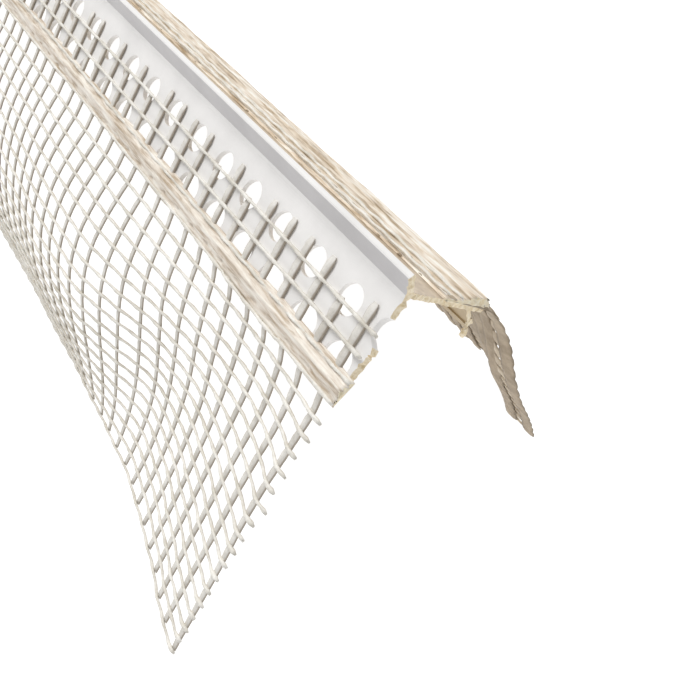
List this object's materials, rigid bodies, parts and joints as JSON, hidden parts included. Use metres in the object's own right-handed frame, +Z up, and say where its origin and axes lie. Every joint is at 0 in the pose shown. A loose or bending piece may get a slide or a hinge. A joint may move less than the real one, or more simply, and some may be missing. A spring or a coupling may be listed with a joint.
{
  "type": "corner guard moulding",
  "caption": "Long right-angled plastic corner moulding with a raised nose, perforated leg and glued glass-fibre mesh wings, standing like a tent.",
  "frame": {"origin": "centre of the bounding box's base, on the floor under the corner", "axes": "+X along the length towards the near cut end, -Y towards the perforated leg, +Z up"},
  "size_m": [2, 0.117, 0.0835],
  "materials": {
    "pvc": "white rigid PVC, satin",
    "glue": "cream hot-melt glue, glossy and streaked",
    "mesh": "cream coated glass-fibre mesh"
  },
  "bodies": {
    "root": {"pvc_corner_profile": "pvc", "left_glue_band": "glue", "right_glue_band": "glue", "left_mesh_wing": "mesh", "right_mesh_wing": "mesh"}
  },
  "joints": []
}
